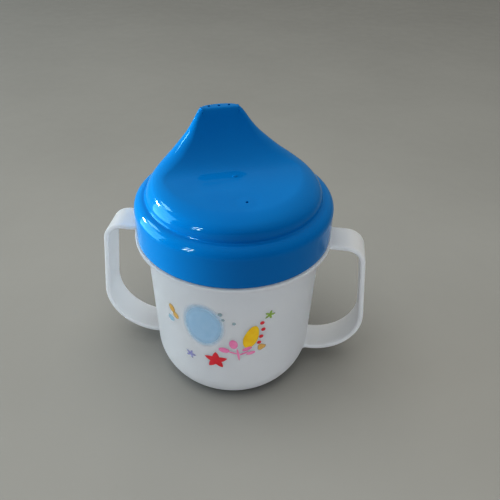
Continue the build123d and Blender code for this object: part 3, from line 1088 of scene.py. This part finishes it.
def pane(name, azimuth, elevation, away, size, radiance, colour):
    """A bright pane that only the lid's gloss sees, placed by its direction from the lid."""
    a, e = radians(azimuth), radians(elevation)
    place = Vector(LID_MIDDLE) + away * Vector((cos(e) * cos(a), cos(e) * sin(a), sin(e)))
    light = area_light(name, place, LID_MIDDLE, size, radiance * pi * size[0] * size[1], colour)
    light.visible_diffuse = False
    light.visible_transmission = False
    light.light_linking.receiver_collection = for_lid


def room():
    """A world that is brighter overhead and behind the cup, and dimmer where gloss mirrors it."""
    world = bpy.data.worlds.new("room")
    world.use_nodes = True
    nodes = Nodes(world.node_tree)
    sky = world.node_tree.nodes["Background"]
    sky.inputs["Color"].default_value = ROOM_COLOUR
    way = nodes.add("ShaderNodeTexCoord")
    facing = nodes.add("ShaderNodeVectorMath", operation="DOT_PRODUCT")
    facing.inputs[1].default_value = ROOM_BRIGHT_WAY
    nodes.link(way, "Generated", facing, 0)
    glow = nodes.spread(facing, "Value", (-0.5, 1), ROOM_RANGE, interpolation_type="SMOOTHSTEP")
    rays = nodes.add("ShaderNodeLightPath")
    dim = nodes.spread(rays, "Is Glossy Ray", (0, 1), (1, ROOM_GLOSS_SHARE))
    level = nodes.add("ShaderNodeMath", operation="MULTIPLY")
    nodes.link(glow, "Result", level, 0)
    nodes.link(dim, "Result", level, 1)
    seen = nodes.add("ShaderNodeMix", B=ROOM_SEEN)
    nodes.link(rays, "Is Camera Ray", seen, "Factor")
    nodes.link(level, "Value", seen, "A")
    nodes.link(seen, "Result", sky, "Strength")
    return world


TARGET = (0, 0, 0.06)
LID_MIDDLE = (-0.02, -0.027, 0.092)
ROOM_COLOUR = (0.90, 0.89, 0.85, 1)
ROOM_BRIGHT_WAY = (-0.1, 0.66, 0.745)
ROOM_RANGE = (0.06, 0.80)   # strength away from the bright side and on it
ROOM_GLOSS_SHARE = 0.4
ROOM_SEEN = 0.30            # strength where the camera sees it, as pale as the floor

ground = floor()
for_lid = group("for_lid", [lid])
for_floor = group("for_floor", [ground])
milky = group("milky", [cup] + [obj for obj in bpy.data.objects if obj.name.startswith("print_")])

soft_fill("window", (-1.25, 0.05, 0.26), TARGET, (1.2, 0.5), 8.5, (0.74, 0.89, 1.0))
soft_fill("side", (-1.1, 0.0, 0.20), TARGET, (1.0, 0.5), 12.0, (0.50, 1.0, 0.92), for_lid)
soft_fill("fill", (0.25, -1.0, 0.20), TARGET, (0.9, 0.4), 1.6, (0.80, 0.85, 1.0))
# the milky wall glows from light inside it more than the renderer's few bounces carry
soft_fill("glow_fill", (0.35, -1.0, 0.24), TARGET, (0.9, 0.6), 2.7, (0.92, 0.97, 1.0), milky)
# part of the floor's light falls without shadow, as it does through a milky cup
over, under = (-0.08, -0.2, 0.8), (-0.08, -0.2, 0)
floor_fill = soft_fill("floor_fill", over, under, (0.8, 0.8), 4.2, (1.0, 0.99, 0.96), for_floor)
floor_fill.light_linking.blocker_collection = group("no_shadow")

pane("pane_wide", 180, 8, 0.20, (0.13, 0.17), 4.5, (0.4, 0.82, 1.0))
pane("pane_bright", 161, 20, 0.40, (0.05, 0.035), 50, (0.85, 0.97, 1.0))
pane("pane_high", 160, 38, 0.60, (0.16, 0.12), 8, (0.6, 0.9, 1.0))
pane("lamp_left", -126.5, 21, 0.60, (0.016, 0.30), 40, (0.9, 0.97, 1.0))
pane("lamp_right", -132.5, 21, 0.60, (0.016, 0.30), 40, (0.9, 0.97, 1.0))

bpy.context.scene.world = room()
bpy.context.scene.view_settings.view_transform = "Standard"
bpy.context.scene.view_settings.look = "High Contrast"

CAMERA_BACK = 178.35        # before the camera is turned round the cup
CAMERA_HEIGHT = 196.5
CAMERA_DOWN = radians(37.55)
CAMERA_YAW = radians(2.21)
CAMERA_ROLL = radians(1.73)
CAMERA_ROUND = radians(8.8)
SENSOR_W = 36
FOCAL_SHARE = 1.04          # focal length over the frame's width


def camera():
    """The camera at the front of the cup, looking down on it."""
    data = bpy.data.cameras.new("camera")
    data.sensor_width = SENSOR_W
    data.lens = FOCAL_SHARE * SENSOR_W
    obj = bpy.data.objects.new("camera", data)
    bpy.context.scene.collection.objects.link(obj)
    forward = Vector((sin(CAMERA_YAW), cos(CAMERA_YAW), 0))
    ahead = cos(CAMERA_DOWN) * forward - Vector((0, 0, sin(CAMERA_DOWN)))
    level = Vector((cos(CAMERA_YAW), -sin(CAMERA_YAW), 0))
    upward = level.cross(ahead)
    right = cos(CAMERA_ROLL) * level + sin(CAMERA_ROLL) * upward
    upward = cos(CAMERA_ROLL) * upward - sin(CAMERA_ROLL) * level
    aimed = Matrix((right, upward, -ahead)).transposed().to_4x4()
    aimed.translation = Vector((0, -CAMERA_BACK, CAMERA_HEIGHT)) * MM
    obj.matrix_world = Matrix.Rotation(CAMERA_ROUND, 4, "Z") @ aimed
    return obj


bpy.context.scene.camera = camera()
